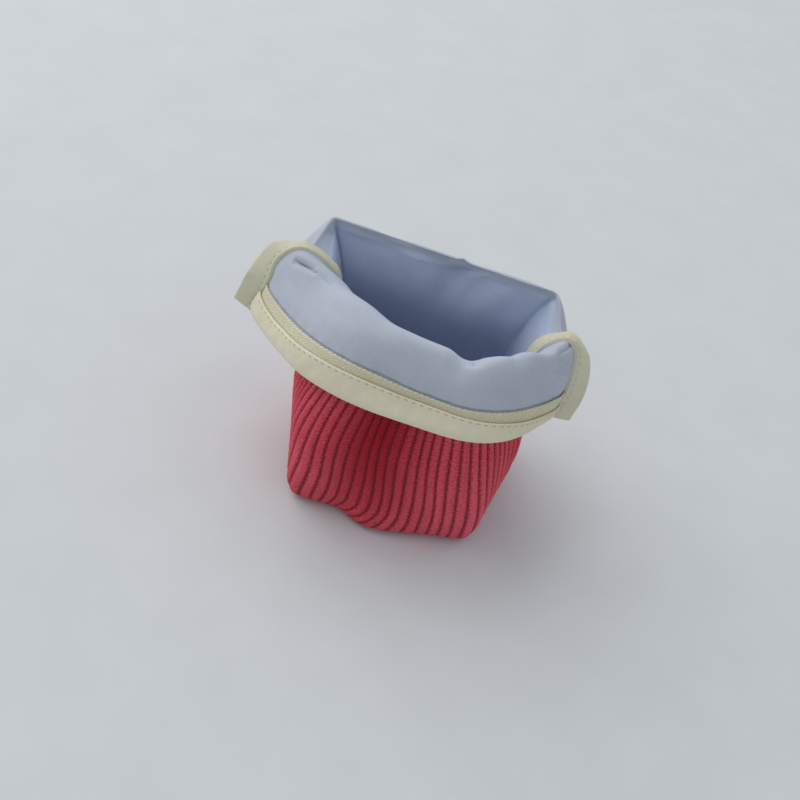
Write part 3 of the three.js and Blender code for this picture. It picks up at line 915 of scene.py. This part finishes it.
# %% [markdown]
# ## Zip tape
#
# A strip of cream twill runs along the cuff under the binding, as the tape of an open zip does. Twill shows
# as slanted lines, here in a herringbone, and its upper edge is a row of small loops, like a fine cord. A
# bevelled curve could make it, but an outline carried from seam to seam lies on the folded cloth all along.

# %% Twill finish
TWILL_PITCH, TWILL_TURN = 0.9, 1.8


def twill_material():
    """Herringbone twill: slanted lines 0.9 mm apart that turn back every 1.8 mm."""
    made, tree, shader = new_material("zip_twill", 0.9, sheen=0.1)
    split = add_node(tree, "ShaderNodeSeparateXYZ", {0: cloth_place(tree)})
    turned = sums(tree, "PINGPONG", split.outputs[0], TWILL_TURN)
    line = stripes(tree, sums(tree, "DIVIDE", sums(tree, "ADD", turned, split.outputs[1]), TWILL_PITCH))
    drift = drifting(tree, (231, 223, 188), (245, 239, 210), grain=0.6)
    coated(tree, shader, scaled(tree, drift, sums(tree, "MULTIPLY_ADD", line, 0.26, 0.8)), line, 0.00018)
    return made


ZIP_TWILL = twill_material()
print("finish:", ZIP_TWILL.name)

# %% Tape strips
TAPE_NEAR, TAPE_FAR, TAPE_STATIONS = 1.25, 2.05, 420
STRIP_START = 0.3 / 66  # a gap beside each seam, as a share of the panel
LOOP_MM, LOOP_REACH = 1.6, 0.05
# Columns: share of the way from the tape's top to its end, share of the way through its thickness
TAPE_OUTLINE = np.array([
    [0.0, 0.5], [0.012, 0.85], [0.04, 1.08], [0.08, 1.0], [0.16, 0.9], [0.3, 0.9], [0.5, 0.95], [0.8, 1.0],
    [1.0, 0.9], [1.0, 0.1], [0.8, 0.0], [0.5, 0.0], [0.16, 0.0], [0.04, 0.0], [0.012, 0.15],
])


def tape_grid(seam):
    """The outline at each station, its top edge in loops: the level rises by the size of a sine."""
    share = np.linspace(STRIP_START, 1 - STRIP_START, TAPE_STATIONS)[:, None]
    down, through = TAPE_OUTLINE.T
    loops = np.abs(np.sin(np.pi * share * PANEL_MM / LOOP_MM)) * np.exp(-down / LOOP_REACH)
    top = strip_edge(seam + share, TAPE_EDGE)
    level = top + (cloth_end(seam + share) - top) * down - 0.028 * loops
    depth = TAPE_NEAR + (TAPE_FAR - TAPE_NEAR) * (through + 0.12 * loops)
    return layer(seam + share, level, depth)


tape_front = strip_mesh("zip_twill_front", tape_grid(0), ZIP_TWILL)
tape_back = strip_mesh("zip_twill_back", tape_grid(1), ZIP_TWILL)

# %% [markdown]
# ## Binding of the mouth
#
# A cream cotton band is folded over the raw edges of tape, lining and corduroy, and hides them all. Its
# section is a narrow U: a front leg with a rounded lip, a soft turn, and a back leg. Folding a flat band in a
# simulation would be slow, so the U is drawn once and carried along the edge, a little puckered, as a band
# sewn round a curve always is.

# %% Binding strips
BAND_TOP, BAND_BACK_TOP, BAND_TURN = 8.05, 8.2, 8.62  # levels of the two legs' tops and of the turn
BAND_FRONT, BAND_BACK, BAND_CLOTH = 3.2, -2.75, 0.9  # layers of the legs, and the cloth's thickness
BAND_STATIONS = 300
# Columns: a wave's length over two pi, in millimetres, its phase and its size
BAND_WAVES = np.array([[0.83, 1.0, 1.0], [1.27, 2.2, 1.0], [2.1, 0.0, 0.8]])


def half_ellipse(level, deep, centre, wide, turn):
    """Half an ellipse: its level goes by the sine of the turn, its layer by the cosine."""
    return np.stack([level + deep * np.sin(turn), centre + wide * np.cos(turn)], 1)


def band_outline():
    """Level and layer of the outline: front leg, round the bottom, back leg, and back inside."""
    turn = np.linspace(0, np.pi, 17)
    centre, half = (BAND_FRONT + BAND_BACK) / 2, (BAND_FRONT - BAND_BACK) / 2
    leg = np.linspace(BAND_TOP + 0.03, BAND_TURN, 7, endpoint=False)
    return np.vstack([
        [[BAND_TOP, BAND_FRONT - 0.5], [BAND_TOP + 0.008, BAND_FRONT - 0.15]],
        np.stack([leg, np.full(len(leg), BAND_FRONT)], 1),
        half_ellipse(BAND_TURN, MOUTH - BAND_TURN, centre, half, turn),
        [[BAND_BACK_TOP + 0.02, BAND_BACK], [BAND_BACK_TOP, BAND_BACK + 0.5]],
        [[BAND_BACK_TOP + 0.02, BAND_BACK + BAND_CLOTH]],
        half_ellipse(BAND_TURN + 0.1, MOUTH - BAND_TURN - 0.2, centre, half - BAND_CLOTH, turn[::-2]),
        [[BAND_TOP + 0.02, BAND_FRONT - BAND_CLOTH]],
    ])


BAND_OUTLINE = band_outline()


def band_grid(seam):
    """The outline at each station, stretched between the binding's two edges.

    Puckers swell its legs by about a tenth of a millimetre, in waves 5 to 13 mm long.
    """
    share = np.linspace(STRIP_START, 1 - STRIP_START, BAND_STATIONS)[:, None]
    down, through = BAND_OUTLINE.T
    waves = sum(size * np.sin(share * PANEL_MM / reach + phase) for reach, phase, size in BAND_WAVES)
    depth = through + 0.08 * waves * np.sign(through - 0.2) * hump((down - CLOTH_END) / 0.4)
    top, edge = strip_edge(seam + share, BAND_EDGE), strip_edge(seam + share, BAND_FOOT)
    level = top + (down - BAND_TOP) / (MOUTH - BAND_TOP) * (edge - top)
    return layer(seam + share, level, depth)


band_front = strip_mesh("mouth_band_front", band_grid(0), BAND_COTTON)
band_back = strip_mesh("mouth_band_back", band_grid(1), BAND_COTTON)

# %% [markdown]
# ## Bound side seams
#
# Inside the pouch each side seam's raw edges are wrapped in a strip of cream cotton, which stands up as a
# flat fin. It climbs the inner wall, goes over the rim with the roll, and ends in a square cut on the cuff.
# A curve with a flat bevel would twist on the way, so a fin is an outline carried along the seam, leaning
# towards the back panel at an angle that a table gives.

# %% Fin outline and lean
FIN_WIDTH, FIN_ROOT, FIN_HALF = 8.0, 1.95, 0.55  # full width, layer of its root, half of its thickness
FIN_STITCH, FIN_EASE, FIN_STATIONS = 1.5, 0.3, 150
# Columns: level, the lean of the left fin and of the right one in degrees off the lining, and the two widths
FIN_SHAPE = np.array([
    [1.6, 22, 26, 6.4, 6.4], [3, 16, 16, 6.2, 6.4], [5, 18, 18, 4.4, 7.0], [6, -1, 8, 4.2, 7.4],
    [6.5, 10, 34, 5.6, 6.8], [7, 34, 42, 7.2, 6.2], [8, 70, 54, 8, 7.2], [9, 66, 66, 8, 8],
])


def fin_outline(count=13):
    """Columns across, through and foot: half the thickness over the width, and a foot down to the lining.

    The fin is pinched along its stitches, full beyond them, and round at the fold.
    """
    across = FIN_WIDTH * (1 - np.cos(np.linspace(0.12, np.pi, count))) / 2
    fold = np.clip((across - FIN_WIDTH + FIN_HALF) / FIN_HALF, 0, 1)
    half = FIN_HALF * (1 - 0.3 * np.exp(-(((across - FIN_STITCH) / 0.7) ** 2))) * np.sqrt(1 - fold**2)
    upper, lower = np.stack([across, half, 0 * half], 1), np.stack([across, -half, 0 * half], 1)[:-1]
    foot = np.array([[0.35, -0.1, 0.95], [-0.35, -0.1, 0.95], [-0.35, 0.25, 0]])
    return np.vstack([upper, lower[::-1], foot])


FIN_OUTLINE = fin_outline()


def fin_frame(seam, level):
    """Root, way across, way through and the lining's normal at each level, leaned by the table's angle."""
    towards_back = 2 * seam - 1
    root = layer(seam, level, np.full(level.shape, FIN_ROOT), uncreased)
    normal = lining_side(uncreased, np.full(level.shape, float(seam)), level)
    back = unit(uncreased(seam + towards_back * PLACE_STEP, level) - uncreased(seam, level))
    lean = np.radians(eased(level, FIN_SHAPE, 1 + seam, FIN_EASE))[:, None]
    across, through = (
        back * np.cos(lean) + normal * np.sin(lean), normal * np.cos(lean) - back * np.sin(lean)
    )
    return root, across, through, normal


def fin_grid(seam, phase):
    """The outline at each station, as wide as the table says, with slow waves in its width and thickness."""
    level = np.linspace(FIN_SHAPE[0, 0], MOUTH, FIN_STATIONS)
    root, across, through, normal = fin_frame(seam, level)
    run = running_length(root[:, None])
    ripple = (0.12 * np.sin(run / 2.3 + phase) + 0.16 * np.sin(run / 4.1 + 2 * phase))[:, None]
    width = eased(level, FIN_SHAPE, 3 + seam, FIN_EASE) * (1 + 0.03 * np.sin(run / 5.0 + phase))
    flat, thick, foot = FIN_OUTLINE.T
    thick = thick + ripple * (flat / FIN_WIDTH) ** 2
    wide = flat * width[:, None] / FIN_WIDTH
    moved = across[:, None] * wide[..., None] + through[:, None] * thick[..., None]
    return root[:, None] + moved - normal[:, None] * foot[:, None]


fin_left = strip_mesh("seam_fin_left", fin_grid(0, phase=0.4), FIN_COTTON)
fin_right = strip_mesh("seam_fin_right", fin_grid(1, phase=1.9), FIN_COTTON)

# %% [markdown]
# ## Stitches
#
# Machine stitches hold it all together: one row along each half of the binding, near its upper edge, and one
# on each face of both fins. A stitch is a short bead of thread that dives into the cloth at both ends. Copies
# of one bead could be set along a curve, but they would have to be made real for the export, so all stitches
# of a row are one mesh, worked out as one array, with a few dozen faces each.

# %% Sewing thread


def thread_material():
    """Twisted cotton thread: slanted light and dark bands along each stitch."""
    made, tree, shader = new_material("sewing_thread", 0.8, sheen=0.2)
    split = add_node(tree, "ShaderNodeSeparateXYZ", {0: cloth_place(tree)})
    twist = stripes(tree, sums(tree, "MULTIPLY_ADD", split.outputs[0], 5.0, split.outputs[1]))
    colour = mixed(tree, twist, byte_colour(176, 168, 140), byte_colour(214, 207, 182))
    coated(tree, shader, colour, twist, 0.00008)
    return made


THREAD = thread_material()
print("finish:", THREAD.name)

# %% Rows of stitches
BEAD_ALONG = np.array([-1.0, -0.72, -0.25, 0.25, 0.72, 1.0])  # rings, as shares of half a stitch
BEAD_SIDES, BEAD_RADIUS, LOOK_AHEAD = 6, 0.2, 0.3
STITCH_START, LINE_POINTS = 1.4 / 66, 400


def stitch_row(name, line, outwards, pitch, length):
    """Beads along a line of points: the radius times the root of one less the square of the way along.

    Each bead dives by its radius times that square.
    """
    run = running_length(line[:, None])
    count = int(run[-1] // pitch)
    at = (np.arange(count) + 0.5) * run[-1] / count
    centre, normal = read_along(at, run, line)[:, None], unit(read_along(at, run, outwards))[:, None]
    ahead = unit(read_along(at + LOOK_AHEAD, run, line) - read_along(at - LOOK_AHEAD, run, line))[:, None]
    reach, dive = BEAD_ALONG[:, None] * length / 2, BEAD_RADIUS * BEAD_ALONG[:, None] ** 2
    spine = centre + ahead * reach - normal * dive
    turn = (np.arange(BEAD_SIDES) * 2 * np.pi / BEAD_SIDES)[:, None]
    ring = np.cross(ahead, normal) * np.cos(turn) + normal * np.sin(turn)
    girth = BEAD_RADIUS * np.sqrt(np.clip(1 - BEAD_ALONG**2, 0.04, 1))
    points = spine[:, :, None] + ring[:, None] * girth[:, None, None]
    row, column, quads = grid_corners(len(BEAD_ALONG), BEAD_SIDES)
    size, corner = len(BEAD_ALONG) * BEAD_SIDES, np.arange(BEAD_SIDES)
    start = np.arange(count)[:, None] * size
    faces = [(start[:, None] + quads).reshape(-1, 4), start + corner, start + size - 1 - corner]
    uv = np.stack([row / (len(BEAD_ALONG) - 1), column / BEAD_SIDES], -1)
    no_map = np.zeros((count, BEAD_SIDES, 2))
    maps = {"cloth": [np.tile(uv, (count, 1, 1)), no_map, no_map]}
    return put_in_mesh(name, points.reshape(-1, 3), faces, maps, THREAD)


stitch_rows = []
for seam, half_name in ((0, "front"), (1, "back")):
    place = seam + np.linspace(STITCH_START, 1 - STITCH_START, LINE_POINTS)
    level = strip_edge(place, BAND_EDGE) + 0.07
    line = layer(place, level, np.full(LINE_POINTS, BAND_FRONT + 0.02))
    outwards = lining_side(middle, place, level)
    stitch_rows.append(stitch_row(f"band_stitches_{half_name}", line, outwards, pitch=2.7, length=2.0))
for seam, side_name in ((0, "left"), (1, "right")):
    root, across, through, _ = fin_frame(seam, np.linspace(1.7, 8.93, LINE_POINTS))
    for way, face_name in ((1, "top"), (-1, "under")):
        line = root + across * FIN_STITCH + through * (0.4 * way)
        name = f"fin_stitches_{side_name}_{face_name}"
        stitch_rows.append(stitch_row(name, line, through * way, pitch=2.6, length=1.3))

# %% [markdown]
# ## Floor
#
# The pouch stands on a plain pale floor. It isn't part of the object.

# %% Floor
FLOOR_HALF = 4.0
pale_floor, floor_tree, floor_shader = new_material("pale_floor", 0.95)
floor_colour = drifting(floor_tree, (214, 217, 219), (219, 222, 224), grain=0.05)
floor_tree.links.new(floor_colour, floor_shader.inputs["Base Color"])
floor_mesh = bpy.data.meshes.new("floor")
floor_corners = [(x * FLOOR_HALF, y * FLOOR_HALF, 0) for x, y in ((-1, -1), (1, -1), (1, 1), (-1, 1))]
floor_mesh.from_pydata(floor_corners, [], [(0, 1, 2, 3)])
floor_mesh.materials.append(pale_floor)
floor = put_in_scene("floor", floor_mesh)
print("floor:", 2 * FLOOR_HALF, "m square")

# %% [markdown]
# ## What each piece stands for
#
# Each piece rides on the one body and takes the place of its plain solid. Each of the two big cloths prints
# its area beside the size that they were cut to.

# %% Pieces and solids
STANDS_FOR = (
    (corduroy, "corduroy_shell", "corduroy"), (lining, "cotton_lining", "lining_cotton"),
    (tape_front, "zip_tape_front", "zip_twill"), (tape_back, "zip_tape_back", "zip_twill"),
    (band_front, "mouth_binding_front", "band_cotton"), (band_back, "mouth_binding_back", "band_cotton"),
    (fin_left, "side_binding_left", "seam_binding"), (fin_right, "side_binding_right", "seam_binding"),
)
for piece, node, slot in STANDS_FOR:
    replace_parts(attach(piece, "root"), node)
for piece in stitch_rows:
    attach(piece, "root")


def cloth_area(mesh):
    """Half of a closed cloth's area, in square metres."""
    areas = np.zeros(len(mesh.polygons))
    mesh.polygons.foreach_get("area", areas)
    return areas.sum() / 2


FLAT = (0.25, 0.15)
for piece in (corduroy, lining):
    print(piece.name, "area", round(cloth_area(piece.data), 4), "of", FLAT[0] * FLAT[1])
